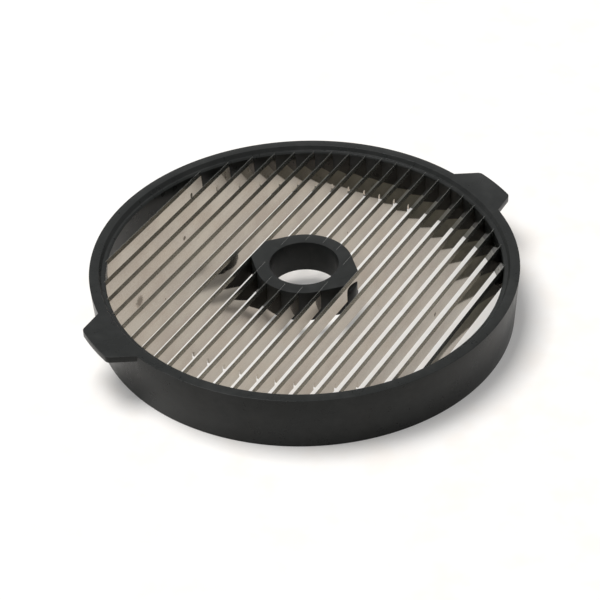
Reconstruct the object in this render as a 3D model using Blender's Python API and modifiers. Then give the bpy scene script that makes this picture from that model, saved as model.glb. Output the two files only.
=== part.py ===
"""A round french fry cutting grid: a moulded ring with two ears, a hub and parallel blades.

Lengths are in metres, angles in degrees, and +Z is up. The origin is the centre of the ring's
base and the blades run along Y. Each blade's ground edge points up, level with the ledge inside
the rim. Its ends sit in slots in that ledge, and the blades in the middle stop in slots in the
hub. The blade on each side of the hub runs past it, between the hub's flat and a lug that comes
up from below. The slots follow the blades' own section, as plastic moulded round them does.
"""

import math

import bmesh
import bpy
from mathutils import Matrix

COLLECTION_NAME = "french_fry_cutting_grid"
CUTTER_COLLECTION_NAME = "cutters"

# Clearance between two pieces that seat in one another
SEAT_GAP = 0.0003

# Ring
RING_OUTER_R = 0.1025
RING_HEIGHT = 0.028
RING_OUTER_DRAFT = 0.0015
RING_INNER_DRAFT = 0.0016
LAND_WIDTH = 0.0046
STEP_DEPTH = 0.002
STEP_RUN = 0.00115
LEDGE_WIDTH = 0.002
LEDGE_EDGE_CHAMFER = 0.0008
RING_CHAMFER = 0.0004
RING_SEGMENTS = 144

# Ears, one at each end of a line through the ring's centre
EAR_ANGLE = 61.6
EAR_REACH = 0.0106
EAR_ROOT_HALF_WIDTH = 0.0186
EAR_TIP_HALF_WIDTH = 0.012
EAR_CORNER_R = 0.003
EAR_THICKNESS = 0.0033
EAR_ROOT_DEPTH = 0.002
EAR_CHAMFER = 0.0003
EAR_ARC_STEPS = 8
EAR_CORNER_STEPS = 4

# Blades
BLADE_PITCH = 0.00853
BLADE_THICKNESS = 0.001
BLADE_HEIGHT = 0.0104
BLADE_GRIND_HEIGHT = 0.0023
BLADE_EDGE_WIDTH = 0.0001
BLADE_RING_MARGIN = 0.004
SLOT_STEP_MARGIN = 0.00025

# Relief notch in each piece of blade, in its lower edge. Those to the right of the hub have it
# towards the front and those to the left towards the rear. The half span is the middle blade's,
# and the other blades keep its share of their open length.
NOTCH_HALF_SPAN = 0.0754
NOTCH_WIDTH = 0.0012
NOTCH_HEIGHT = 0.0022

# Hub
HUB_BORE_R = 0.0166
HUB_OUTER_R = 0.0232
HUB_HEIGHT = 0.0165
HUB_FLAT_HALF_LENGTH = 0.0066
HUB_BORE_WEB = 0.0012
HUB_CHAMFER = 0.0003
HUB_SEGMENTS = 72

# Lug on each side of the hub, which bulges past the outer face of the blade beside it
LUG_HALF_WIDTH = 0.00505
LUG_BULGE = 0.0014
LUG_DROP = 0.0048
LUG_ARC_STEPS = 12

# How far a cutter runs past the faces that it opens
CUTTER_OVERRUN = 0.001
WELD_DISTANCE = 0.00001
SHARP_ANGLE = 28

# Sizes that follow from the ones above
LAND_INNER_R = RING_OUTER_R - LAND_WIDTH
LEDGE_OUTER_R = LAND_INNER_R - STEP_RUN
LEDGE_INNER_R = LEDGE_OUTER_R - LEDGE_WIDTH
LEDGE_Z = RING_HEIGHT - STEP_DEPTH
BLADE_BOTTOM_Z = LEDGE_Z - BLADE_HEIGHT
SLOT_HALF_WIDTH = BLADE_THICKNESS / 2 + SEAT_GAP
SLOT_FLOOR_Z = BLADE_BOTTOM_Z - SEAT_GAP
BLADES_PER_SIDE = int((LEDGE_INNER_R - BLADE_RING_MARGIN) // BLADE_PITCH)
HUB_NEIGHBOUR = math.ceil((HUB_OUTER_R + SLOT_HALF_WIDTH) / BLADE_PITCH)
HUB_FLAT_X = HUB_NEIGHBOUR * BLADE_PITCH


def arc_points(radius, start, end, steps):
    """Points on a circle about the origin, from one angle to another in radians."""
    angles = (start + (end - start) * step / steps for step in range(steps + 1))
    return [(radius * math.cos(angle), radius * math.sin(angle)) for angle in angles]


def corner_points(before, corner, after, radius, steps):
    """Points that round one corner of an outline with an arc that touches both of its sides."""
    to_before = math.atan2(before[1] - corner[1], before[0] - corner[0])
    to_after = math.atan2(after[1] - corner[1], after[0] - corner[0])
    turn = math.remainder(to_after - to_before, math.tau)
    half = abs(turn) / 2
    middle = to_before + turn / 2
    reach = radius / math.sin(half)
    centre_x = corner[0] + reach * math.cos(middle)
    centre_y = corner[1] + reach * math.sin(middle)
    side = math.copysign(math.pi / 2 - half, turn)
    back = middle + math.pi
    angles = (back + side * (1 - 2 * step / steps) for step in range(steps + 1))
    return [(centre_x + radius * math.cos(a), centre_y + radius * math.sin(a)) for a in angles]


def tidy_mesh(mesh):
    """Weld a mesh's loose caps, merge its flat faces and turn all its faces outwards."""
    cage = bmesh.new()
    cage.from_mesh(mesh)
    bmesh.ops.remove_doubles(cage, verts=cage.verts, dist=WELD_DISTANCE)
    bmesh.ops.dissolve_limit(cage, angle_limit=0.001, verts=cage.verts, edges=cage.edges)
    bmesh.ops.recalc_face_normals(cage, faces=cage.faces)
    cage.to_mesh(mesh)
    cage.free()


def add_object(name, mesh, collection):
    """Make an object of a mesh and link it to a collection."""
    new_object = bpy.data.objects.new(name, mesh)
    collection.objects.link(new_object)
    return new_object


def bake(item):
    """Replace an object's shape by the one that its modifiers give, with its edges marked."""
    depsgraph = bpy.context.evaluated_depsgraph_get()
    mesh = bpy.data.meshes.new_from_object(item.evaluated_get(depsgraph))
    item.modifiers.clear()
    item.data = mesh
    mesh.name = item.name
    mesh.shade_smooth()
    mesh.set_sharp_from_angle(angle=math.radians(SHARP_ANGLE))


def extruded_outline(name, outlines, depth, collection):
    """A flat outline with a thickness, from its own XY plane down.

    Args:
        name: Name of the new object.
        outlines: Closed loops of (x, y) points. A loop inside another one is a hole.
        depth: Thickness of the piece along its own -Z.
        collection: Collection that takes the object.
    """
    curve = bpy.data.curves.new(name, "CURVE")
    curve.dimensions = "2D"
    curve.fill_mode = "BOTH"
    curve.extrude = depth / 2
    for outline in outlines:
        spline = curve.splines.new("POLY")
        spline.points.add(len(outline) - 1)
        for point, (x, y) in zip(spline.points, outline):
            point.co = (x, y, 0, 1)
        spline.use_cyclic_u = True
    drawing = add_object(name + "_drawing", curve, collection)
    depsgraph = bpy.context.evaluated_depsgraph_get()
    mesh = bpy.data.meshes.new_from_object(drawing.evaluated_get(depsgraph))
    bpy.data.objects.remove(drawing)
    bpy.data.curves.remove(curve)
    mesh.name = name
    mesh.transform(Matrix.Translation((0, 0, -depth / 2)))
    tidy_mesh(mesh)
    return add_object(name, mesh, collection)


def turned_body(name, profile, segments, collection):
    """A ring turned about Z from a closed profile of (radius, height) points."""
    mesh = bpy.data.meshes.new(name)
    points = [(radius, 0, height) for radius, height in profile]
    loop = [(index, (index + 1) % len(points)) for index in range(len(points))]
    mesh.from_pydata(points, loop, [])
    body = add_object(name, mesh, collection)
    screw = body.modifiers.new("turn", "SCREW")
    screw.steps = segments
    screw.render_steps = segments
    screw.use_merge_vertices = True
    screw.merge_threshold = WELD_DISTANCE
    bake(body)
    return body


def chamfer(item, width):
    """Cut a narrow flat on every sharp edge of an object."""
    bevel = item.modifiers.new("chamfer", "BEVEL")
    bevel.width = width
    bevel.segments = 1
    bevel.limit_method = "ANGLE"
    bevel.angle_limit = math.radians(SHARP_ANGLE)
    bake(item)


def box_cutter(name, boxes, collection):
    """One cutter made of boxes that stay clear of one another.

    Args:
        name: Name of the new object.
        boxes: Pairs of opposite corners, the low one and the high one.
        collection: Collection that takes the object.
    """
    cage = bmesh.new()
    for low, high in boxes:
        centre = [(a + b) / 2 for a, b in zip(low, high)]
        size = [b - a for a, b in zip(low, high)]
        bmesh.ops.create_cube(cage, matrix=Matrix.LocRotScale(centre, None, size))
    mesh = bpy.data.meshes.new(name)
    cage.to_mesh(mesh)
    cage.free()
    return as_tool(add_object(name, mesh, collection))


def as_tool(item):
    """Mark an object as one that only shapes others."""
    item.display_type = "WIRE"
    item.hide_render = True
    return item


def combine(item, tool, operation):
    """Cut an object with another one, or join that one to it."""
    boolean = item.modifiers.new(tool.name, "BOOLEAN")
    boolean.operation = operation
    boolean.solver = "EXACT"
    boolean.object = tool


def make_material(name, colour, roughness, metallic):
    """A plain material of one colour."""
    material = bpy.data.materials.new(name)
    material.use_nodes = True
    shader = material.node_tree.nodes["Principled BSDF"]
    shader.inputs["Base Color"].default_value = (*colour, 1)
    shader.inputs["Roughness"].default_value = roughness
    shader.inputs["Metallic"].default_value = metallic
    return material


def ring_profile():
    """Section of the ring's wall: rim, outer wall, base, inner wall, ledge and step."""
    base_outer_r = RING_OUTER_R - RING_OUTER_DRAFT
    base_inner_r = LEDGE_INNER_R + RING_INNER_DRAFT
    return [
        (RING_OUTER_R - RING_CHAMFER, RING_HEIGHT),
        (RING_OUTER_R, RING_HEIGHT - RING_CHAMFER),
        (base_outer_r, RING_CHAMFER),
        (base_outer_r - RING_CHAMFER, 0),
        (base_inner_r + RING_CHAMFER, 0),
        (base_inner_r, RING_CHAMFER),
        (LEDGE_INNER_R, LEDGE_Z - LEDGE_EDGE_CHAMFER),
        (LEDGE_INNER_R + LEDGE_EDGE_CHAMFER, LEDGE_Z),
        (LEDGE_OUTER_R, LEDGE_Z),
        (LAND_INNER_R, RING_HEIGHT - RING_CHAMFER),
        (LAND_INNER_R + RING_CHAMFER, RING_HEIGHT),
    ]


def ear_outline():
    """Outline of an ear that points along X: a root arc in the rim and a rounded, arched tip."""
    tip_r = RING_OUTER_R + EAR_REACH
    tip_angle = math.asin(EAR_TIP_HALF_WIDTH / tip_r)
    side_x = tip_r * math.cos(tip_angle) - RING_OUTER_R
    side_y = EAR_TIP_HALF_WIDTH - EAR_ROOT_HALF_WIDTH
    root_x = math.sqrt(RING_OUTER_R**2 - EAR_ROOT_HALF_WIDTH**2)
    inset = EAR_ROOT_DEPTH / math.hypot(side_x, side_y)
    start_x = root_x - side_x * inset
    start_y = EAR_ROOT_HALF_WIDTH - side_y * inset
    root_angle = math.atan2(start_y, start_x)
    root_arc = arc_points(math.hypot(start_x, start_y), root_angle, -root_angle, EAR_ARC_STEPS)
    tip_arc = arc_points(tip_r, -tip_angle, tip_angle, EAR_ARC_STEPS)
    first = corner_points(root_arc[-1], tip_arc[0], tip_arc[1], EAR_CORNER_R, EAR_CORNER_STEPS)
    last = corner_points(tip_arc[-2], tip_arc[-1], root_arc[0], EAR_CORNER_R, EAR_CORNER_STEPS)
    return root_arc + first + tip_arc[2:-2] + last


def slot_end_y(x):
    """Where a blade's slot ends in the ledge, so that its corner stays inside the step."""
    reach = LEDGE_OUTER_R - SLOT_STEP_MARGIN
    return math.sqrt(reach**2 - (abs(x) + SLOT_HALF_WIDTH) ** 2)


def hub_slot_end_y(x):
    """Where a blade's slot ends in the hub, with a web left between it and the bore."""
    reach_squared = (HUB_BORE_R + HUB_BORE_WEB) ** 2 - max(0, abs(x) - SLOT_HALF_WIDTH) ** 2
    return math.sqrt(max(HUB_BORE_WEB**2, reach_squared))


def notch_place(x):
    """How far a blade's notch is from the middle of its row."""
    return NOTCH_HALF_SPAN * math.sqrt(1 - (x / LEDGE_INNER_R) ** 2)


def slot_section():
    """Section of a slot, as X and Z: a blade's own section grown by the gap, open at its top."""
    slope = (BLADE_THICKNESS - BLADE_EDGE_WIDTH) / 2 / BLADE_GRIND_HEIGHT
    edge_half = BLADE_EDGE_WIDTH / 2 + SEAT_GAP * math.hypot(1, slope)
    shoulder_z = LEDGE_Z - (SLOT_HALF_WIDTH - edge_half) / slope
    top_half = edge_half - slope * CUTTER_OVERRUN
    right_side = [
        (SLOT_HALF_WIDTH, SLOT_FLOOR_Z),
        (SLOT_HALF_WIDTH, shoulder_z),
        (top_half, LEDGE_Z + CUTTER_OVERRUN),
    ]
    return right_side + [(-x, z) for x, z in reversed(right_side)]


def slot_cutter(name, spans, collection):
    """One cutter made of the slots of several blades.

    Args:
        name: Name of the new object.
        spans: The x, the low y and the high y of each slot.
        collection: Collection that takes the object.
    """
    section = extruded_outline(name + "_section", [slot_section()], 1, collection)
    upright = Matrix.Rotation(math.radians(90), 4, "X")
    cage = bmesh.new()
    for x, low_y, high_y in spans:
        slot = section.data.copy()
        length = Matrix.Diagonal((1, 1, high_y - low_y, 1))
        slot.transform(Matrix.Translation((x, low_y, 0)) @ upright @ length)
        cage.from_mesh(slot)
        bpy.data.meshes.remove(slot)
    bpy.data.objects.remove(section)
    mesh = bpy.data.meshes.new(name)
    cage.to_mesh(mesh)
    cage.free()
    return as_tool(add_object(name, mesh, collection))


def blade_rows():
    """Name of each blade, its place counted from the middle one, and where it stands on X."""
    rows = []
    for place in range(-BLADES_PER_SIDE, BLADES_PER_SIDE + 1):
        side = "left" if place < 0 else "right"
        name = f"blade_{side}_{abs(place):02d}" if place else "blade_middle"
        rows.append((name, place, place * BLADE_PITCH))
    return rows


def build_ring(parts, cutters):
    """The ring: a turned wall with two ears, slotted through its ledge for the blades."""
    ring = turned_body("outer_ring", ring_profile(), RING_SEGMENTS, parts)
    for side, turn in (("rear", 0), ("front", 180)):
        ear = extruded_outline(f"{side}_ear", [ear_outline()], EAR_THICKNESS, cutters)
        ear.location.z = RING_HEIGHT
        ear.rotation_euler.z = math.radians(EAR_ANGLE + turn)
        chamfer(ear, EAR_CHAMFER)
        combine(ring, as_tool(ear), "UNION")
    slots = [(x, -slot_end_y(x), slot_end_y(x)) for _, _, x in blade_rows()]
    combine(ring, slot_cutter("ring_slots", slots, cutters), "DIFFERENCE")
    return ring


def hub_outline():
    """Outline of the hub: a circle drawn out on each side to the middle of the next blade."""
    corner_angle = math.atan2(HUB_FLAT_HALF_LENGTH, HUB_FLAT_X)
    corner_r = math.hypot(HUB_FLAT_HALF_LENGTH, HUB_FLAT_X)
    tangent_angle = corner_angle + math.acos(HUB_OUTER_R / corner_r)
    steps = HUB_SEGMENTS // 4
    outline = []
    for turn in (0, math.pi):
        corner = (math.cos(turn) * HUB_FLAT_X, math.cos(turn) * HUB_FLAT_HALF_LENGTH)
        start = turn + tangent_angle
        end = turn + math.pi - tangent_angle
        outline.append(corner)
        outline += arc_points(HUB_OUTER_R, start, end, steps)
        outline.append((-corner[0], corner[1]))
    return outline


def lug_outline():
    """Outline of the lug on +X: square where it leaves the hub, and a shallow arc outside."""
    arc_r = (LUG_HALF_WIDTH**2 + LUG_BULGE**2) / (2 * LUG_BULGE)
    arc_angle = math.asin(LUG_HALF_WIDTH / arc_r)
    centre_x = HUB_FLAT_X + BLADE_THICKNESS / 2 + LUG_BULGE - arc_r
    outer = arc_points(arc_r, -arc_angle, arc_angle, LUG_ARC_STEPS)
    root_x = HUB_FLAT_X - BLADE_THICKNESS
    root = [(root_x, LUG_HALF_WIDTH), (root_x, -LUG_HALF_WIDTH)]
    return root + [(centre_x + x, y) for x, y in outer]


def build_hub(parts, cutters):
    """The hub: a thick bored boss with two lugs, slotted for the blades that meet it."""
    bore = arc_points(HUB_BORE_R, 0, math.tau, HUB_SEGMENTS)[:-1]
    hub = extruded_outline("hub", [hub_outline(), bore], HUB_HEIGHT, parts)
    hub.location.z = LEDGE_Z
    chamfer(hub, HUB_CHAMFER)
    lug_height = HUB_HEIGHT - LUG_DROP - HUB_CHAMFER
    for side, turn in (("right", 0), ("left", 180)):
        lug = extruded_outline(f"{side}_lug", [lug_outline()], lug_height, cutters)
        lug.location.z = LEDGE_Z - LUG_DROP
        lug.rotation_euler.z = math.radians(turn)
        chamfer(lug, HUB_CHAMFER)
        combine(hub, as_tool(lug), "UNION")
    slots = []
    outer = HUB_FLAT_X + CUTTER_OVERRUN
    for _, place, x in blade_rows():
        if abs(place) < HUB_NEIGHBOUR:
            inner = hub_slot_end_y(x)
            slots += [(x, -outer, -inner), (x, inner, outer)]
        elif abs(place) == HUB_NEIGHBOUR:
            slots.append((x, -outer, outer))
    combine(hub, slot_cutter("hub_slots", slots, cutters), "DIFFERENCE")
    return hub


def build_blade(name, x, low_y, high_y, parts):
    """One flat blade from low_y to high_y, its top edge ground to a thin line from both faces."""
    half = BLADE_THICKNESS / 2
    edge = BLADE_EDGE_WIDTH / 2
    shoulder = BLADE_HEIGHT - BLADE_GRIND_HEIGHT
    right_side = [(half, 0), (half, shoulder), (edge, BLADE_HEIGHT)]
    left_side = [(-edge, BLADE_HEIGHT), (-half, shoulder), (-half, 0)]
    blade = extruded_outline(name, [right_side + left_side], high_y - low_y, parts)
    blade.rotation_euler.x = math.radians(90)
    blade.location = (x, low_y, BLADE_BOTTOM_Z)
    return blade


def build_blades(parts, cutters):
    """All the blades, in two lengths each where the hub interrupts them, with their notches."""
    blades = []
    notches = []
    for name, place, x in blade_rows():
        end = slot_end_y(x) - SEAT_GAP
        if abs(place) < HUB_NEIGHBOUR:
            inner = hub_slot_end_y(x) + SEAT_GAP
            blades.append(build_blade(name + "_front", x, -end, -inner, parts))
            blades.append(build_blade(name + "_rear", x, inner, end, parts))
        else:
            blades.append(build_blade(name, x, -end, end, parts))
        notched = []
        if place > -HUB_NEIGHBOUR:
            notched.append(-notch_place(x))
        if place < HUB_NEIGHBOUR:
            notched.append(notch_place(x))
        for y in notched:
            low = (x - BLADE_THICKNESS, y - NOTCH_WIDTH / 2, BLADE_BOTTOM_Z - CUTTER_OVERRUN)
            high = (x + BLADE_THICKNESS, y + NOTCH_WIDTH / 2, BLADE_BOTTOM_Z + NOTCH_HEIGHT)
            notches.append((low, high))
    tool = box_cutter("blade_notches", notches, cutters)
    for blade in blades:
        combine(blade, tool, "DIFFERENCE")
    return blades


def build_grid():
    """Clear the scene and build the whole grid under one empty."""
    for old_object in list(bpy.data.objects):
        bpy.data.objects.remove(old_object)
    parts = bpy.data.collections.new(COLLECTION_NAME)
    cutters = bpy.data.collections.new(CUTTER_COLLECTION_NAME)
    bpy.context.scene.collection.children.link(parts)
    bpy.context.scene.collection.children.link(cutters)
    origin = add_object("grid_origin", None, parts)

    ring = build_ring(parts, cutters)
    ring.data.materials.append(make_material("ring_plastic", (0.032, 0.033, 0.033), 0.5, 0))
    hub = build_hub(parts, cutters)
    hub.data.materials.append(make_material("hub_plastic", (0.03, 0.031, 0.031), 0.5, 0))
    steel = make_material("blade_steel", (0.56, 0.53, 0.49), 0.38, 1)
    blades = build_blades(parts, cutters)
    for blade in blades:
        blade.data.materials.append(steel)
    for item in [ring, hub, *blades]:
        item.parent = origin


build_grid()
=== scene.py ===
"""Looks of a round french fry cutting grid, with its floor, light and camera.

Every length is in metres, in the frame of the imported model: +Z up, the blades along Y and the
origin at the centre of the ring's base. Angles are in degrees, and scales in grains a metre.
"""

import logging
import math
from collections.abc import Iterable, Sequence
from dataclasses import dataclass
from enum import Enum

import bmesh
import bpy
from mathutils import Matrix, Vector

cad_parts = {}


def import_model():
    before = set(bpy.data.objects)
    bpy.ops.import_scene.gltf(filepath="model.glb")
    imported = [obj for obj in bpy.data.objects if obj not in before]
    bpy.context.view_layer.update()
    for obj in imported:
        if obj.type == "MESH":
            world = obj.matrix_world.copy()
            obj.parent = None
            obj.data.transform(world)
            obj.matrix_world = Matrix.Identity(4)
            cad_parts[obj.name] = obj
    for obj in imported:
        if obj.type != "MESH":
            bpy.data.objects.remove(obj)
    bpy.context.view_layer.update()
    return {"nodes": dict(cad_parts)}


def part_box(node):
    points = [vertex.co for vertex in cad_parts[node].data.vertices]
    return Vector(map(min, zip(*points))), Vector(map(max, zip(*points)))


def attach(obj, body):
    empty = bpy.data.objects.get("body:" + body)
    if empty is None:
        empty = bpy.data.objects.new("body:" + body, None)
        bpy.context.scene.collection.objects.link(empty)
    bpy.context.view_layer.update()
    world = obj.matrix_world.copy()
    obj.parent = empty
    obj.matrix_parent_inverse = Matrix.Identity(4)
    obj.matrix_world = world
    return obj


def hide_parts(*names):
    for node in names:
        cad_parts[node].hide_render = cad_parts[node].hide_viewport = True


LOG = logging.getLogger("fry_grid")
BODY = "root"

WELD_DISTANCE = 0.000002
FLAT_RADIANS = 0.001
STRAIGHT_HALF_ANGLE = 89.9
HALF_TURNS = (0.0, 180.0)
NOISE_MIDDLE = 0.5
WHITE = (1.0, 1.0, 1.0, 1.0)

Point = tuple[float, float]
Range = tuple[float, float]
Corner = tuple[float, float, float]
Place = tuple[float, float, float]
Colour = tuple[float, float, float]
Prism = tuple[Sequence[Point], float, float, float]


class Slot(Enum):
    """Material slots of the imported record."""

    RING = "ring_plastic"
    HUB = "hub_plastic"
    STEEL = "blade_steel"


class Joining(Enum):
    """How one solid works on another."""

    CUT = "DIFFERENCE"
    JOIN = "UNION"


class Ray(Enum):
    """Kinds of ray that a surface can be seen by."""

    STRAIGHT = "Is Camera Ray"
    MIRRORED = "Is Glossy Ray"


# Shader arithmetic


class Value:
    """A shader socket that takes part in Python arithmetic."""

    def __init__(self, graph: "Graph", socket: bpy.types.NodeSocket | None) -> None:
        """Wrap an output socket.

        Args:
            graph: The graph that the socket belongs to.
            socket: The output socket, or None for a node without one.
        """
        self.graph = graph
        self.socket = socket

    def math(self, operation: str, *others: "Value | float") -> "Value":
        """Feed this value and others to a Math node.

        Args:
            operation: The Math node's operation.
            others: The other operands, in order.

        Returns:
            The node's result.
        """
        operands = dict(enumerate([self, *others]))
        return self.graph.node("ShaderNodeMath", {"operation": operation}, operands)

    def __add__(self, other: "Value | float") -> "Value":
        """Sum."""
        return self.math("ADD", other)

    def __radd__(self, other: float) -> "Value":
        """Sum with a number on the left."""
        return self.math("ADD", other)

    def __sub__(self, other: "Value | float") -> "Value":
        """Difference."""
        return self.math("SUBTRACT", other)

    def __rsub__(self, other: float) -> "Value":
        """Difference from a number."""
        return self.graph.number(other, "SUBTRACT", self)

    def __mul__(self, other: "Value | float") -> "Value":
        """Product."""
        return self.math("MULTIPLY", other)

    def __rmul__(self, other: float) -> "Value":
        """Product with a number on the left."""
        return self.math("MULTIPLY", other)

    def swing(self, reach: float) -> "Value":
        """How far this noise is from its middle, times a reach."""
        return (self - NOISE_MIDDLE) * reach

    def ramp(self, low: float, high: float) -> "Value":
        """Smooth step from 0 at low to 1 at high.

        Args:
            low: Value that gives 0.
            high: Value that gives 1. It may be less than low.

        Returns:
            The stepped value.
        """
        settings = {"interpolation_type": "SMOOTHSTEP"}
        if low < high:
            return self.graph.node("ShaderNodeMapRange", settings, {0: self, 1: low, 2: high})
        return 1 - self.graph.node("ShaderNodeMapRange", settings, {0: self, 1: high, 2: low})


class Graph:
    """The node tree of one material or world."""

    def __init__(self, tree: bpy.types.NodeTree) -> None:
        """Start an empty tree.

        Args:
            tree: The node tree to fill. What it holds is removed.
        """
        self.tree = tree
        tree.nodes.clear()

    def node(self, kind: str, settings: dict | None = None, inputs: dict | None = None,
             output: str | int = 0) -> Value:
        """Add a node, with its settings first and its sockets after them.

        Args:
            kind: The node's type.
            settings: Attributes of the node.
            inputs: Values or links by the socket's name or number.
            output: Name or number of the output that is wanted.

        Returns:
            That output.
        """
        made = self.tree.nodes.new(kind)
        for key, value in (settings or {}).items():
            setattr(made, key, value)
        for key, value in (inputs or {}).items():
            if isinstance(value, Value):
                self.tree.links.new(value.socket, made.inputs[key])
            else:
                made.inputs[key].default_value = value
        return Value(self, made.outputs[output] if len(made.outputs) else None)

    def number(self, value: float, operation: str, other: Value) -> Value:
        """A Math node whose first operand is a plain number.

        Args:
            value: The number.
            operation: The Math node's operation.
            other: The second operand.

        Returns:
            The node's result.
        """
        return self.node("ShaderNodeMath", {"operation": operation}, {0: value, 1: other})

    def mix(self, factor: Value | float, first: Value | Colour, second: Value | Colour) -> Value:
        """Mix two colours.

        Args:
            factor: Share of the second colour.
            first: Colour at factor 0.
            second: Colour at factor 1.

        Returns:
            The mixed colour.
        """
        ends = [c if isinstance(c, Value) else (*c, 1.0) for c in (first, second)]
        settings = {"data_type": "RGBA", "clamp_factor": True}
        return self.node("ShaderNodeMix", settings, {0: factor, 6: ends[0], 7: ends[1]}, 2)

    def place(self) -> Value:
        """Position on the piece, in metres."""
        return self.node("ShaderNodeTexCoord", output="Object")

    def axis(self, name: str) -> Value:
        """One coordinate of the position on the piece.

        Args:
            name: X, Y or Z.

        Returns:
            The coordinate, in metres.
        """
        return self.node("ShaderNodeSeparateXYZ", None, {0: self.place()}, name)

    def stretched(self, scale: Sequence[float]) -> Value:
        """Position with each axis multiplied, for grain that runs one way.

        Args:
            scale: Factor for each axis.

        Returns:
            The scaled position.
        """
        inputs = {0: self.place(), 1: tuple(scale)}
        return self.node("ShaderNodeVectorMath", {"operation": "MULTIPLY"}, inputs)

    def noise(self, where: Value, scale: float = 1.0, detail: float = 2.0,
              roughness: float = 0.5) -> Value:
        """Noise around its middle value.

        Args:
            where: Position that it is read at.
            scale: Cells a unit of the position.
            detail: Octaves above the first.
            roughness: Share that each octave keeps.

        Returns:
            The noise's value.
        """
        inputs = {"Vector": where, "Scale": scale, "Detail": detail, "Roughness": roughness}
        return self.node("ShaderNodeTexNoise", {"noise_dimensions": "3D"}, inputs)

    def bump(self, height: Value, distance: float, strength: float) -> Value:
        """Normal disturbed by a height.

        Args:
            height: Height of the surface, 0 to 1.
            distance: What a height of 1 stands for, in metres.
            strength: Share of the effect.

        Returns:
            The normal.
        """
        inputs = {"Height": height, "Distance": distance, "Strength": strength}
        return self.node("ShaderNodeBump", None, inputs)

    def seen_by(self, ray: Ray) -> Value:
        """Whether what sees the surface is a ray of this kind, as 0 or 1."""
        return self.node("ShaderNodeLightPath", output=ray.value)

    def surface(self, shader: Value) -> None:
        """Send a shader to the material's output."""
        self.node("ShaderNodeOutputMaterial", None, {"Surface": shader})


def new_material(name: str) -> tuple[bpy.types.Material, Graph]:
    """Start a material.

    Args:
        name: Its name.

    Returns:
        The material and its graph, which is empty.
    """
    made = bpy.data.materials.new(name)
    made.use_nodes = True
    return made, Graph(made.node_tree)


# Finishes


@dataclass(frozen=True)
class PaintedFloorLight:
    """Painted floor light: a pale band painted on faces inside a radius and below a height.

    It stands in for light from the white floor on the ring's lower inner wall.
    It fades out over a width in each direction, and is stronger and weaker in patches.
    """

    colour: Colour
    radius: float
    height: float
    radius_fade: float = 0.0003
    height_fade: float = 0.0007
    thinnest: float = 0.6
    patchiness: float = 0.8

    def cover(self, graph: Graph, mottling: Value) -> Value:
        """How strongly the painted floor light shows on the surface.

        Args:
            graph: The material's graph.
            mottling: Noise that makes the cover uneven.

        Returns:
            0 where there is none, up to 1.
        """
        flat = graph.stretched((1.0, 1.0, 0.0))
        radius = graph.node("ShaderNodeVectorMath", {"operation": "LENGTH"}, {0: flat}, "Value")
        inside = radius.ramp(self.radius, self.radius - self.radius_fade)
        below = graph.axis("Z").ramp(self.height + self.height_fade, self.height)
        return inside * below * (self.thinnest + mottling * self.patchiness)


@dataclass(frozen=True)
class MouldedPlastic:
    """Black moulded plastic with a fine grain, faint mottling and lighter rubbed patches.

    Grain, mottle and cloud are the sizes of its three noises. The last two of them move the
    roughness, each by its own share.
    """

    name: str
    colour: Colour
    rubbed: Colour
    roughness: float
    specular: float
    painted_floor_light: PaintedFloorLight | None = None
    grain: float = 0.00035
    mottle: float = 0.006
    cloud: float = 0.028
    rub_range: Range = (0.44, 0.66)
    mottle_roughness: float = 0.2
    cloud_roughness: float = 0.12
    relief: float = 0.00003
    relief_strength: float = 0.35

    def material(self) -> bpy.types.Material:
        """Build the material.

        Returns:
            The finished material.
        """
        made, graph = new_material(self.name)
        place = graph.place()
        mottling = graph.noise(place, 1 / self.mottle, 3.0, 0.6)
        clouds = graph.noise(place, 1 / self.cloud)
        grain = graph.noise(place, 1 / self.grain)
        rub = (mottling * 0.5 + clouds * 0.5).ramp(*self.rub_range)
        colour = graph.mix(rub, self.colour, self.rubbed)
        # Painted floor light: a pale band painted low on the inner wall, in place of light from the
        # white floor
        if self.painted_floor_light:
            colour = graph.mix(self.painted_floor_light.cover(graph, mottling), colour, self.painted_floor_light.colour)
        roughness = (self.roughness + mottling.swing(self.mottle_roughness)
                     + clouds.swing(self.cloud_roughness))
        height = grain * 0.7 + mottling * 0.3
        graph.surface(graph.node("ShaderNodeBsdfPrincipled", None, {
            "Base Color": colour,
            "Roughness": roughness,
            "Specular IOR Level": self.specular,
            "Normal": graph.bump(height, self.relief, self.relief_strength),
        }))
        return made


@dataclass(frozen=True)
class Mark:
    """A speck or stain on the steel, which fades from its core outwards."""

    place: Place
    radius: float
    depth: float
    core: float = 0.4


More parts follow.
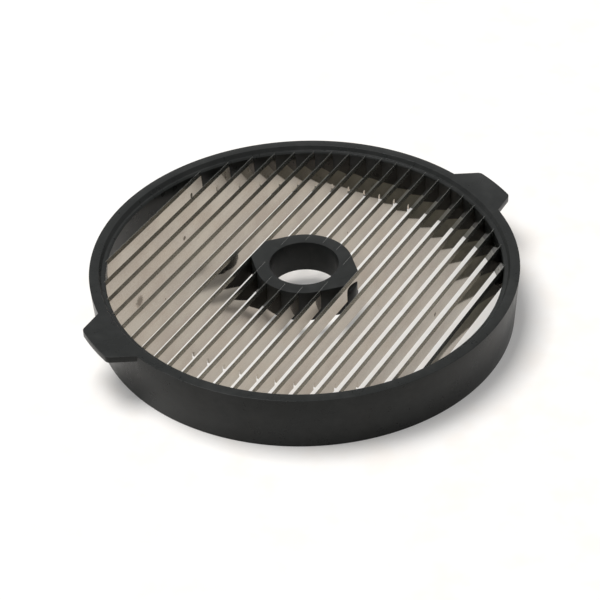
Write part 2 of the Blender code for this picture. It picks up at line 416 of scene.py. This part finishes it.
@dataclass(frozen=True)
class GroundSteel:
    """Stainless strip with lengthwise grain and a ground edge whose scratches run up it.

    Streaks are as long as streak and as wide as line. The ground edge starts at shoulder_z.
    Specks lie in patches all over the steel, besides its marks.
    """

    name: str
    colour: Colour
    shade: Colour
    ground: Colour
    dirt: Colour
    roughness: float
    ground_roughness: float
    shoulder_z: float
    marks: tuple[Mark, ...] = ()
    shoulder_blend: float = 0.00005
    streak: float = 0.018
    line: float = 0.00022
    grain: float = 0.0005
    through_scale: float = 40.0
    scratch_scale: float = 120.0
    cloud_scale: float = 45.0
    tone_range: Range = (0.39, 0.61)
    grain_roughness: float = 0.05
    cloud_roughness: float = 0.04
    speck_scale: float = 420.0
    speck_range: Range = (0.11, 0.05)
    speck_depth: float = 0.8
    patch_scale: float = 260.0
    patch_range: Range = (0.66, 0.7)
    relief: float = 0.00001
    relief_strength: float = 0.08

    def soiling(self, graph: Graph, grain: Value) -> Value:
        """How dirty the steel is: patches of fine specks everywhere, and its marks.

        Args:
            graph: The material's graph.
            grain: Fine noise that makes the marks' edges uneven.

        Returns:
            0 where it is clean, up to 1.
        """
        cells = graph.node("ShaderNodeTexVoronoi", {"feature": "F1"},
                           {"Vector": graph.place(), "Scale": self.speck_scale})
        patches = graph.noise(graph.place(), self.patch_scale, 1.0)
        specks = cells.ramp(*self.speck_range) * patches.ramp(*self.patch_range)
        dirt = specks * self.speck_depth
        for mark in self.marks:
            inputs = {0: graph.place(), 1: mark.place}
            gap = graph.node("ShaderNodeVectorMath", {"operation": "DISTANCE"}, inputs, "Value")
            uneven = gap + grain.swing(mark.radius)
            dirt = dirt + uneven.ramp(mark.radius, mark.radius * mark.core) * mark.depth
        return dirt

    def material(self) -> bpy.types.Material:
        """Build the material.

        Returns:
            The finished material.
        """
        made, graph = new_material(self.name)
        lengthwise = (self.through_scale, 1 / self.streak, 1 / self.line)
        upward = (self.through_scale, 1 / self.line, self.scratch_scale)
        streaks = graph.noise(graph.stretched(lengthwise))
        scratches = graph.noise(graph.stretched(upward))
        grain = graph.noise(graph.place(), 1 / self.grain, 3.0, 0.65)
        clouds = graph.noise(graph.place(), self.cloud_scale)
        blend = self.shoulder_blend
        ground = graph.axis("Z").ramp(self.shoulder_z - blend, self.shoulder_z + blend)
        tone = (streaks * 0.2 + grain * 0.45 + clouds * 0.35).ramp(*self.tone_range)
        face = graph.mix(tone, self.shade, self.colour)
        clean = graph.mix(ground, face, self.ground)
        colour = graph.mix(self.soiling(graph, grain), clean, self.dirt)
        face_roughness = (self.roughness + grain.swing(self.grain_roughness)
                          + clouds.swing(self.cloud_roughness))
        roughness = face_roughness * (1 - ground) + self.ground_roughness * ground
        brushing = streaks * (1 - ground) + scratches * ground * 0.3
        height = brushing * 0.6 + grain * 0.4
        graph.surface(graph.node("ShaderNodeBsdfPrincipled", None, {
            "Base Color": colour,
            "Metallic": 1.0,
            "Roughness": roughness,
            "Normal": graph.bump(height, self.relief, self.relief_strength),
        }))
        return made


@dataclass(frozen=True)
class Paper:
    """White paper with fine fibres and faint warm blotches, which glows a little to be white.

    It can be seen through from below, so that the grid's underside shows.
    """

    name: str
    colour: Colour
    blotch: Colour
    glow: float
    mirrored_glow: float
    fibre: float = 0.0005
    patch: float = 0.022
    patch_range: Range = (0.4, 0.72)
    roughness: float = 0.75
    fibre_roughness: float = 0.2
    specular: float = 0.1
    relief: float = 0.00003
    relief_strength: float = 0.2

    def material(self) -> bpy.types.Material:
        """Build the material.

        Returns:
            The finished material.
        """
        made, graph = new_material(self.name)
        patches = graph.noise(graph.place(), 1 / self.patch, 3.0, 0.55)
        fibres = graph.noise(graph.place(), 1 / self.fibre)
        paper = graph.node("ShaderNodeBsdfPrincipled", None, {
            "Base Color": graph.mix(patches.ramp(*self.patch_range), self.colour, self.blotch),
            "Roughness": self.roughness + fibres.swing(self.fibre_roughness),
            "Specular IOR Level": self.specular,
            "Normal": graph.bump(fibres, self.relief, self.relief_strength),
        })
        white = graph.node("ShaderNodeEmission", None, {"Color": WHITE})
        straight = graph.seen_by(Ray.STRAIGHT)
        mirrored = graph.seen_by(Ray.MIRRORED)
        share = straight * self.glow + mirrored * self.mirrored_glow
        upper = graph.node("ShaderNodeMixShader", None, {0: share, 1: paper, 2: white})
        below = graph.node("ShaderNodeNewGeometry", output="Backfacing")
        clear = graph.node("ShaderNodeBsdfTransparent")
        graph.surface(graph.node("ShaderNodeMixShader", None, {0: below, 1: upper, 2: clear}))
        return made


# Outlines and mesh tools


def arc(centre: Point, radius: float, start: float, end: float, steps: int) -> list[Point]:
    """Points along an arc.

    Args:
        centre: Centre of the arc.
        radius: Its radius.
        start: First angle.
        end: Last angle.
        steps: Number of chords.

    Returns:
        The points, both ends included.
    """
    angles = [math.radians(start + (end - start) * i / steps) for i in range(steps + 1)]
    return [(centre[0] + radius * math.cos(a), centre[1] + radius * math.sin(a)) for a in angles]


def rounded(corners: Sequence[Corner], steps: int) -> list[Point]:
    """A closed outline with its corners rounded.

    Args:
        corners: The corners in order, as x, y and the radius of the rounding.
        steps: Chords for each rounding.

    Returns:
        The points of the outline.
    """
    points: list[Point] = []
    for i, (x, y, radius) in enumerate(corners):
        corner = Vector((x, y))
        to_last = (Vector(corners[i - 1][:2]) - corner).normalized()
        to_next = (Vector(corners[(i + 1) % len(corners)][:2]) - corner).normalized()
        half = to_last.angle(to_next) / 2
        if radius == 0 or half > math.radians(STRAIGHT_HALF_ANGLE):
            points.append((x, y))
            continue
        centre = corner + (to_last + to_next).normalized() * radius / math.sin(half)
        first = corner + to_last * radius / math.tan(half) - centre
        turn = first.angle_signed(corner + to_next * radius / math.tan(half) - centre)
        for step in range(steps + 1):
            spoke = first.copy()
            spoke.rotate(Matrix.Rotation(-turn * step / steps, 2))
            points.append(tuple(centre + spoke))
    return points


def link(name: str, data: bpy.types.ID) -> bpy.types.Object:
    """Make an object and put it in the scene.

    Args:
        name: Name of the object.
        data: Its mesh, curve, lamp or camera.

    Returns:
        The new object.
    """
    made = bpy.data.objects.new(name, data)
    bpy.context.scene.collection.objects.link(made)
    return made


def mesh_of(name: str, cage: bmesh.types.BMesh) -> bpy.types.Mesh:
    """Turn a bmesh into a mesh and free it.

    Args:
        name: Name of the mesh.
        cage: The bmesh.

    Returns:
        The new mesh.
    """
    mesh = bpy.data.meshes.new(name)
    cage.to_mesh(mesh)
    cage.free()
    return mesh


def bake(item: bpy.types.Object) -> None:
    """Replace an object's mesh by what its modifiers give.

    Args:
        item: The object that is changed.
    """
    graph = bpy.context.evaluated_depsgraph_get()
    mesh = bpy.data.meshes.new_from_object(item.evaluated_get(graph))
    item.modifiers.clear()
    item.data = mesh


def turned(name: str, profile: Sequence[Point], segments: int) -> bpy.types.Object:
    """A closed body turned about Z.

    Args:
        name: Name of the object.
        profile: Radius and height of each point of the closed section, down its outer side.
        segments: Steps round the axis.

    Returns:
        The new object.
    """
    mesh = bpy.data.meshes.new(name)
    edges = [(i, (i + 1) % len(profile)) for i in range(len(profile))]
    mesh.from_pydata([(r, 0.0, z) for r, z in profile], edges, [])
    made = link(name, mesh)
    screw = made.modifiers.new("turn", "SCREW")
    screw.steps = screw.render_steps = segments
    screw.use_merge_vertices = True
    screw.merge_threshold = WELD_DISTANCE
    bake(made)
    return made


def slab(name: str, outlines: Iterable[Sequence[Point]], depth: float) -> bpy.types.Object:
    """A flat outline with a thickness, from its own XY plane down.

    Args:
        name: Name of the object.
        outlines: Closed loops of points. A loop inside another is a hole.
        depth: The thickness.

    Returns:
        The new object.
    """
    curve = bpy.data.curves.new(name, "CURVE")
    curve.dimensions = "2D"
    curve.fill_mode = "BOTH"
    curve.extrude = depth / 2
    for outline in outlines:
        spline = curve.splines.new("POLY")
        spline.points.add(len(outline) - 1)
        for point, (x, y) in zip(spline.points, outline):
            point.co = (x, y, 0.0, 1.0)
        spline.use_cyclic_u = True
    drawing = link(name, curve)
    graph = bpy.context.evaluated_depsgraph_get()
    mesh = bpy.data.meshes.new_from_object(drawing.evaluated_get(graph))
    bpy.data.objects.remove(drawing)
    bpy.data.curves.remove(curve)
    mesh.transform(Matrix.Translation((0.0, 0.0, -depth / 2)))
    cage = bmesh.new()
    cage.from_mesh(mesh)
    bpy.data.meshes.remove(mesh)
    bmesh.ops.remove_doubles(cage, verts=cage.verts, dist=WELD_DISTANCE)
    bmesh.ops.dissolve_limit(cage, angle_limit=FLAT_RADIANS, verts=cage.verts, edges=cage.edges)
    bmesh.ops.recalc_face_normals(cage, faces=cage.faces)
    return link(name, mesh_of(name, cage))


def upright(x: float, low_y: float) -> Matrix:
    """The turn that stands a slab's outline up across X, with its depth along Y.

    Args:
        x: Where the outline's own origin goes.
        low_y: Where the slab starts.

    Returns:
        The matrix.
    """
    return Matrix(((1, 0, 0, x), (0, 0, -1, low_y), (0, 1, 0, 0), (0, 0, 0, 1)))


def prisms(name: str, pieces: Iterable[Prism]) -> bpy.types.Object:
    """One body made of upright sections drawn out along Y.

    Args:
        name: Name of the object.
        pieces: The outline as X and Z, the x it stands at, and the y of its two ends.

    Returns:
        The new object.
    """
    cage = bmesh.new()
    for outline, x, low_y, high_y in pieces:
        made = slab(name, [outline], high_y - low_y)
        made.data.transform(upright(x, low_y))
        cage.from_mesh(made.data)
        bpy.data.objects.remove(made)
    return link(name, mesh_of(name, cage))


def combine(item: bpy.types.Object, tool: bpy.types.Object, how: Joining) -> None:
    """Cut an object with a tool or join the tool to it, and remove the tool.

    Args:
        item: The object that is changed.
        tool: The object that works on it.
        how: Whether it cuts or joins.
    """
    boolean = item.modifiers.new(tool.name, "BOOLEAN")
    boolean.operation = how.value
    boolean.solver = "EXACT"
    boolean.object = tool
    bake(item)
    bpy.data.objects.remove(tool)


def soften(item: bpy.types.Object, width: float, segments: int = 3, angle: float = 40.0) -> None:
    """Round the sharp edges of an object.

    Args:
        item: The object that is changed.
        width: Width of the rounding.
        segments: Faces across it.
        angle: Angle above which an edge is sharp.
    """
    bevel = item.modifiers.new("soften", "BEVEL")
    bevel.width = width
    bevel.segments = segments
    bevel.limit_method = "ANGLE"
    bevel.angle_limit = math.radians(angle)
    bake(item)


def dress(item: bpy.types.Object, material: bpy.types.Material,
          nodes: Sequence[str], angle: float = 30.0) -> None:
    """Give a finished piece its material and shading, attach it to the body and hide the CAD nodes
    that it replaces.

    Args:
        item: The piece.
        material: Its material.
        nodes: The CAD nodes that it replaces.
        angle: Angle above which an edge is shaded sharp.
    """
    item.data.materials.clear()
    item.data.materials.append(material)
    item.data.shade_smooth()
    item.data.set_sharp_from_angle(angle=math.radians(angle))
    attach(item, BODY)
    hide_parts(*nodes)
    LOG.info("%s: %d faces", item.name, len(item.data.polygons))


# Sub-assemblies


@dataclass
class Blade:
    """One flat blade, ground to a thin edge along its top, with a notch in its lower edge.

    The half span is the middle row's, from the centre to its notch, and the other rows keep its
    share of their open length. The notch's tool is as thick as its depth and starts below the
    blade by the overrun.
    """

    node: str
    low: Vector
    high: Vector
    open_r: float
    grind_height: float = 0.0023
    edge_width: float = 0.00008
    notch_half_span: float = 0.0754
    notch_width: float = 0.0018
    notch_height: float = 0.0034
    notch_steps: int = 10
    notch_overrun: float = 0.001
    notch_depth: float = 0.004
    sharp_angle: float = 5.0

    @classmethod
    def of(cls, node: str, open_r: float) -> "Blade":
        """The blade that stands where a CAD node is.

        Args:
            node: Name of the node.
            open_r: Radius of the ring's opening.

        Returns:
            The blade.
        """
        return cls(node, *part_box(node), open_r)

    @property
    def row(self) -> str:
        """Its row, which two blades share where the hub comes between them."""
        return self.node.removesuffix("_front").removesuffix("_rear")

    @property
    def stopped(self) -> bool:
        """Whether it stops in the hub."""
        return self.row != self.node

    @property
    def x(self) -> float:
        """Where the blade stands across the grid."""
        return (self.low.x + self.high.x) / 2

    @property
    def shoulder_z(self) -> float:
        """Height at which the ground edge starts."""
        return self.high.z - self.grind_height

    @property
    def notch_y(self) -> float:
        """Where its notch is: at the front on the hub's right, and at the rear on its left.

        Returns:
            The middle of the notch. A blade that stops in the hub has it on its own side.
        """
        place = self.notch_half_span * math.sqrt(1 - (self.x / self.open_r) ** 2)
        at_front = self.high.y < 0 if self.stopped else self.x > 0
        return -place if at_front else place

    def section(self, play: float, rise: float) -> list[Point]:
        """Its section as X and Z, grown on every side.

        Args:
            play: How far the section is grown.
            rise: How far it goes on above the edge, along the same slopes.

        Returns:
            The outline, about the blade's own x.
        """
        half = (self.high.x - self.low.x) / 2
        slope = (half - self.edge_width / 2) / self.grind_height
        edge = self.edge_width / 2 + play
        right = [(half + play, self.low.z - play), (half + play, self.shoulder_z),
                 (edge - slope * rise, self.high.z + rise)]
        return right + [(-x, z) for x, z in reversed(right)]

    def notch(self) -> bpy.types.Object:
        """Its notch, with a round top, as a tool to cut it with.

        Returns:
            The tool.
        """
        half = self.notch_width / 2
        foot = self.low.z - self.notch_overrun
        top = arc((0, self.low.z + self.notch_height - half), half, 0.0, 180.0, self.notch_steps)
        tool = slab("notch", [[(half, foot), *top, (-half, foot)]], self.notch_depth)
        side_x = self.x + self.notch_depth / 2
        across = Matrix(((0, 0, 1, side_x), (1, 0, 0, self.notch_y), (0, 1, 0, 0), (0, 0, 0, 1)))
        tool.data.transform(across)
        return tool

    def build(self, material: bpy.types.Material) -> bpy.types.Object:
        """Build and dress the blade.

        Args:
            material: The steel.

        Returns:
            The finished piece.
        """
        made = prisms("steel_" + self.node, [(self.section(0, 0), self.x, self.low.y, self.high.y)])
        combine(made, self.notch(), Joining.CUT)
        dress(made, material, [self.node], self.sharp_angle)
        return made


@dataclass
class Ring:
    """The moulded ring: a drafted wall with a flat rim, a step, a slotted ledge and two ears.

    A slot leaves its play round the blade, and goes on above the blade's edge by its rise.
    """

    low: Vector
    high: Vector
    ledge_z: float
    outer_draft: float = 0.0015
    inner_draft: float = 0.0016
    land_width: float = 0.0046
    step_run: float = 0.00115
    ledge_width: float = 0.002
    ledge_chamfer: float = 0.0008
    step_round: float = 0.0002
    edge: float = 0.00015
    ear_angle: float = 61.6
    ear_reach: float = 0.0106
    ear_root: float = 0.0186
    ear_overlap: float = 0.0018
    ear_tip: float = 0.012
    ear_corner: float = 0.003
    ear_thickness: float = 0.0033
    slot_play: float = 0.00005
    slot_rise: float = 0.0003
    segments: int = 480
    edge_steps: int = 4
    ear_steps: int = 12
    ear_corner_steps: int = 8

    @property
    def outer_r(self) -> float:
        """Radius of the rim."""
        return self.high.x

    @property
    def top_z(self) -> float:
        """Height of the rim."""
        return self.high.z

    @property
    def open_r(self) -> float:
        """Radius of the opening at the ledge."""
        return self.outer_r - self.land_width - self.step_run - self.ledge_width

    def profile(self) -> list[Point]:
        """Section of the wall with its edges rounded.

        Returns:
            Radius and height of each point, down its outer side.
        """
        land_r = self.outer_r - self.land_width
        step_r = land_r - self.step_run
        corners = [
            (self.outer_r, self.top_z, self.edge),
            (self.outer_r - self.outer_draft, self.low.z, self.edge),
            (self.open_r + self.inner_draft, self.low.z, self.edge),
            (self.open_r, self.ledge_z - self.ledge_chamfer, self.step_round),
            (self.open_r + self.ledge_chamfer, self.ledge_z, self.step_round),
            (step_r, self.ledge_z, self.step_round),
            (land_r, self.top_z, self.step_round),
        ]
        return rounded(corners, self.edge_steps)

    def ear(self, turn: float) -> bpy.types.Object:
        """One ear, as a tool to join to the wall.

        Args:
            turn: Angle that turns it from the rear ear's place.

        Returns:
            The ear.
        """
        tip_r = self.outer_r + self.ear_reach
        tip_angle = math.asin(self.ear_tip / tip_r)
        root_x = math.sqrt(self.outer_r**2 - self.ear_root**2)
        tip_x = tip_r * math.cos(tip_angle)
        slope = (self.ear_root - self.ear_tip) / (tip_x - root_x)
        start_x = root_x - self.ear_overlap
        start_y = self.ear_root + self.ear_overlap * slope
        start_angle = math.degrees(math.atan2(start_y, start_x))
        end_angle = math.degrees(tip_angle)
        root = arc((0, 0), math.hypot(start_x, start_y), start_angle, -start_angle, self.ear_steps)
        tip = arc((0, 0), tip_r, -end_angle, end_angle, self.ear_steps)
        taken = self.ear_steps // 4
        corners = [(x, y, 0.0) for x, y in root]
        corners += [(*tip[0], self.ear_corner)]
        corners += [(x, y, 0.0) for x, y in tip[taken:-taken]]
        corners += [(*tip[-1], self.ear_corner)]
        made = slab("ear", [rounded(corners, self.ear_corner_steps)], self.ear_thickness)
        soften(made, self.edge)
        made.rotation_euler.z = math.radians(self.ear_angle + turn)
        made.location.z = self.top_z
        return made

    def slots(self, blades: Sequence[Blade]) -> bpy.types.Object:
        """The slots that the blades' ends stand in, as one tool.

        Args:
            blades: The blades.

        Returns:
            The tool.
        """
        rows: dict[str, list[Blade]] = {}
        for blade in blades:
            rows.setdefault(blade.row, []).append(blade)
        pieces = []
        for row in sorted(rows.values(), key=lambda row: row[0].x):
            low_y = min(blade.low.y for blade in row) - self.slot_play
            high_y = max(blade.high.y for blade in row) + self.slot_play
            pieces.append((row[0].section(self.slot_play, self.slot_rise), row[0].x, low_y, high_y))
        return prisms("ring_slots", pieces)

    def build(self, material: bpy.types.Material, blades: Sequence[Blade]) -> bpy.types.Object:
        """Build and dress the ring.

        Args:
            material: The plastic.
            blades: The blades that its ledge is slotted for.

        Returns:
            The finished piece.
        """
        made = turned("ring_moulding", self.profile(), self.segments)
        for turn in HALF_TURNS:
            combine(made, self.ear(turn), Joining.JOIN)
        combine(made, self.slots(blades), Joining.CUT)
        dress(made, material, ["outer_ring"])
        return made


@dataclass
class Hub:
    """The moulded hub: a bored boss drawn out to two flats, with a lug past the blade by each.

    Some blades stop in it, and one passes it on each side.
    """

    low: Vector
    high: Vector
    stopped: Sequence[Blade]
    passing: Sequence[Blade]
    bore_r: float = 0.0166
    flat_half: float = 0.0066
    lug_half: float = 0.00505
    lug_drop: float = 0.0048
    lug_overlap: float = 0.001
    edge: float = 0.0004
    slot_play: float = 0.00005
    slot_rise: float = 0.0003
    slot_overrun: float = 0.002
    bore_steps: int = 240
    wall_steps: int = 80
    lug_steps: int = 24

    @property
    def flat_x(self) -> float:
        """Where the flats are: in the middle of the blades that pass."""
        return max(blade.x for blade in self.passing)

    def outline(self) -> list[Point]:
        """Its outline from above: a circle and the flats beside it, joined by tangents.

        Returns:
            The points of the outline.
        """
        radius = self.high.y
        reach = math.hypot(self.flat_x, self.flat_half)
        corner = math.degrees(math.atan2(self.flat_half, self.flat_x))
        tangent = corner + math.degrees(math.acos(radius / reach))
        points: list[Point] = []
        for turn in HALF_TURNS:
            sign = math.cos(math.radians(turn))
            points.append((sign * self.flat_x, sign * self.flat_half))
            points += arc((0, 0), radius, turn + tangent, turn + 180.0 - tangent, self.wall_steps)
            points.append((-sign * self.flat_x, sign * self.flat_half))
        return points

    def lug(self, turn: float) -> bpy.types.Object:
        """One lug, as a tool to join to the boss.

        Args:
            turn: Angle that turns it from the place at +X.

        Returns:
            The lug.
        """
        face_x = max(blade.high.x for blade in self.passing)
        bulge = self.high.x - face_x
        radius = (self.lug_half**2 + bulge**2) / (2 * bulge)
        angle = math.degrees(math.asin(self.lug_half / radius))
        root_x = self.flat_x - self.lug_overlap
        outline = [(root_x, self.lug_half), (root_x, -self.lug_half),
                   *arc((self.high.x - radius, 0), radius, -angle, angle, self.lug_steps)]
        made = slab("lug", [outline], self.high.z - self.low.z - self.lug_drop - self.edge)
        soften(made, self.edge)
        made.rotation_euler.z = math.radians(turn)
        made.location.z = self.high.z - self.lug_drop
        return made

    def slots(self) -> bpy.types.Object:
        """The slots of the blades that stop in it and of the two that pass it.

        Returns:
            All of them as one tool.
        """
        pieces = []
        beyond = self.high.x + self.slot_overrun
        for blade in self.stopped:
            sign = math.copysign(1.0, blade.low.y + blade.high.y)
            inner = sign * (min(abs(blade.low.y), abs(blade.high.y)) - self.slot_play)
            ends = sorted((inner, sign * beyond))
            pieces.append((blade.section(self.slot_play, self.slot_rise), blade.x, *ends))
        for blade in self.passing:
            pieces.append((blade.section(self.slot_play, self.slot_rise), blade.x, -beyond, beyond))
        return prisms("hub_slots", pieces)

    def build(self, material: bpy.types.Material) -> bpy.types.Object:
        """Build and dress the hub.

        Args:
            material: The plastic.

        Returns:
            The finished piece.
        """
        bore = arc((0, 0), self.bore_r, 0.0, 360.0, self.bore_steps)[:-1]
        made = slab("hub_moulding", [self.outline(), bore], self.high.z - self.low.z)
        made.data.transform(Matrix.Translation((0.0, 0.0, self.high.z)))
        soften(made, self.edge)
        for turn in HALF_TURNS:
            combine(made, self.lug(turn), Joining.JOIN)
        combine(made, self.slots(), Joining.CUT)
        dress(made, material, ["hub"])
        return made


# Studio


@dataclass(frozen=True)
class Softbox:
    """A square lamp that faces the grid, with its side and its power in watts."""

    name: str
    place: Place
    side: float
    power: float

    def hang(self) -> None:
        """Hang it in the scene."""
        data = bpy.data.lights.new(self.name, "AREA")
        data.shape = "SQUARE"
        data.size = self.side
        data.energy = self.power
        lamp = link(self.name, data)
        lamp.location = self.place
        lamp.rotation_euler = (-Vector(self.place)).to_track_quat("-Z", "Y").to_euler()


@dataclass
class Studio:
    """White paper to stand on, soft light from above and the camera of the photograph.

    The surroundings light the grid at the strength sky, are mirrored at the strength
    mirrored_sky and look white. The camera turns round the rim's centre and then moves off it
    by side and rise.
    """

    paper: Paper
    lamps: Sequence[Softbox]
    floor_size: float = 1.9
    floor_drop: float = 0.0001
    sky: float = 0.27
    mirrored_sky: float = 0.75
    azimuth: float = 30.95
    elevation: float = 38.15
    roll: float = -2.08
    distance: float = 0.942
    side: float = 0.00194
    rise: float = 0.01918
    lens: float = 118.59
    sensor: float = 36.0
    clip_start: float = 0.01
    clip_end: float = 50.0

    def floor(self) -> bpy.types.Object:
        """Lay the floor.

        Returns:
            The floor.
        """
        cage = bmesh.new()
        bmesh.ops.create_grid(cage, x_segments=1, y_segments=1, size=self.floor_size / 2)
        mesh = mesh_of("floor", cage)
        mesh.transform(Matrix.Translation((0.0, 0.0, -self.floor_drop)))
        mesh.materials.append(self.paper.material())
        made = link("floor", mesh)
        return made

    def world(self) -> None:
        """Fill the surroundings with even light, white where the camera sees them."""
        world = bpy.data.worlds.new("studio")
        bpy.context.scene.world = world
        world.use_nodes = True
        graph = Graph(world.node_tree)
        straight = graph.seen_by(Ray.STRAIGHT)
        mirrored = graph.seen_by(Ray.MIRRORED)
        strength = straight * (1 - self.sky) + mirrored * (self.mirrored_sky - self.sky) + self.sky
        inputs = {"Color": WHITE, "Strength": strength}
        shader = graph.node("ShaderNodeBackground", None, inputs)
        graph.node("ShaderNodeOutputWorld", None, {"Surface": shader})

    def camera(self, pivot: Vector) -> None:
        """Set up the camera, which looks at the grid from the photograph's side.

        Args:
            pivot: Centre of the rim, which the measured offsets start from.
        """
        elevation = math.radians(self.elevation)
        roll = math.radians(self.roll)
        forward = Vector((0.0, math.cos(elevation), -math.sin(elevation)))
        level = Vector((1.0, 0.0, 0.0))
        upward = level.cross(forward)
        right = level * math.cos(roll) + upward * math.sin(roll)
        up = upward * math.cos(roll) - level * math.sin(roll)
        eye = -forward * self.distance - right * self.side - up * self.rise
        turn = Matrix.Rotation(math.radians(self.azimuth), 4, "Z")
        axes = Matrix((right, up, -forward)).transposed().to_4x4()
        data = bpy.data.cameras.new("camera")
        data.lens = self.lens
        data.sensor_width = self.sensor
        data.clip_start = self.clip_start
        data.clip_end = self.clip_end
        made = link("camera", data)
        made.matrix_world = Matrix.Translation(pivot) @ turn @ Matrix.Translation(eye) @ axes
        bpy.context.scene.camera = made

    def build(self, pivot: Vector) -> None:
        """Set up floor, surroundings, lamps and camera.

        Args:
            pivot: Centre of the rim.
        """
        self.floor()
        self.world()
        for lamp in self.lamps:
            lamp.hang()
        self.camera(pivot)
        bpy.context.scene.view_settings.view_transform = "Standard"


# The whole scene


def finishes(shoulder_z: float) -> dict[Slot, bpy.types.Material]:
    """The grid's materials.

    Args:
        shoulder_z: Height at which the blades' ground edges start.

    Returns:
        The material of each slot.
    """
    marks = (
        Mark((-0.0677, -0.0007, 0.0182), 0.0016, 0.95),
        Mark((0.0687, 0.0020, 0.0186), 0.0015, 0.95),
        Mark((0.0005, 0.0420, 0.0169), 0.0007, 0.8),
        Mark((-0.0507, -0.0448, 0.0170), 0.0007, 0.8),
        Mark((-0.0592, -0.0538, 0.0187), 0.0038, 0.72),
    )
    steel = GroundSteel(
        name="blade_steel_finish",
        colour=(0.555, 0.513, 0.448),
        shade=(0.437, 0.386, 0.334),
        ground=(0.45, 0.455, 0.43),
        dirt=(0.08, 0.056, 0.034),
        roughness=0.07,
        ground_roughness=0.27,
        shoulder_z=shoulder_z,
        marks=marks,
    )
    # A pale band painted on the ring's lower inner wall stands in for light from the white floor
    painted_floor_light = PaintedFloorLight(colour=(0.175, 0.178, 0.158), radius=0.0975, height=0.0113)
    black = (0.0118, 0.0128, 0.0123)
    rubbed = (0.0178, 0.0188, 0.0181)
    ring = MouldedPlastic("ring_black", black, rubbed, roughness=0.3, specular=0.16, painted_floor_light=painted_floor_light)
    hub = MouldedPlastic("hub_black", black, rubbed, roughness=0.37, specular=0.15)
    return {
        Slot.STEEL: steel.material(),
        Slot.RING: ring.material(),
        Slot.HUB: hub.material(),
    }


def studio() -> Studio:
    """The paper, the light and the camera.

    Returns:
        The studio, still to be built.
    """
    paper = Paper(
        name="white_paper",
        colour=(0.86, 0.84, 0.815),
        blotch=(0.845, 0.8, 0.75),
        glow=0.22,
        mirrored_glow=0.15,
    )
    above = Softbox("softbox_above", place=(-0.88, -0.2, 2.86), side=1.6, power=106.0)
    return Studio(paper, [above])


def main() -> None:
    logging.basicConfig(level=logging.INFO, format="%(name)s %(message)s")
    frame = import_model()
    ring = Ring(*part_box("outer_ring"), ledge_z=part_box("hub")[1].z)
    names = sorted(node for node in frame["nodes"] if node.startswith("blade_"))
    blades = [Blade.of(node, ring.open_r) for node in names]
    stopped = [blade for blade in blades if blade.stopped]
    whole = sorted((blade for blade in blades if not blade.stopped), key=lambda blade: abs(blade.x))
    # The two whole blades nearest to the hub run past it, one on each side
    hub = Hub(*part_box("hub"), stopped=stopped, passing=whole[:2])

    finish = finishes(blades[0].shoulder_z)
    for blade in blades:
        blade.build(finish[Slot.STEEL])
    ring.build(finish[Slot.RING], blades)
    hub.build(finish[Slot.HUB])
    studio().build(Vector((0.0, 0.0, ring.top_z)))


if __name__ == "__main__":
    main()
